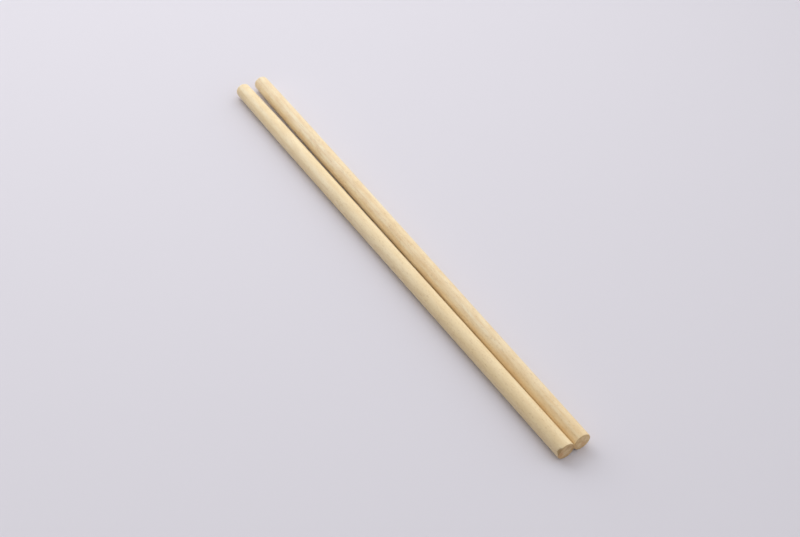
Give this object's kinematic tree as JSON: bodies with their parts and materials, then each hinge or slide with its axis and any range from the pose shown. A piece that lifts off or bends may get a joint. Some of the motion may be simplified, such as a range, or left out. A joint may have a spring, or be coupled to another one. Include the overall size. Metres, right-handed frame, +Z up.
{
  "type": "pair of wooden chopsticks",
  "caption": "Pair of plain round wooden chopsticks lying side by side, with flat-cut handle ends and rounded tips.",
  "frame": {"origin": "under the middle of the pair, on the surface that it lies on", "axes": "+X along the pair, from the tips to the handle ends; +Y from the front stick to the rear one; +Z up"},
  "size_m": [0.2252, 0.0154, 0.007],
  "materials": {
    "wood_front": "sanded, unfinished pale wood",
    "wood_rear": "sanded, unfinished pale wood"
  },
  "bodies": {
    "root": {"chopstick_front": "wood_front", "chopstick_rear": "wood_rear"}
  },
  "joints": []
}
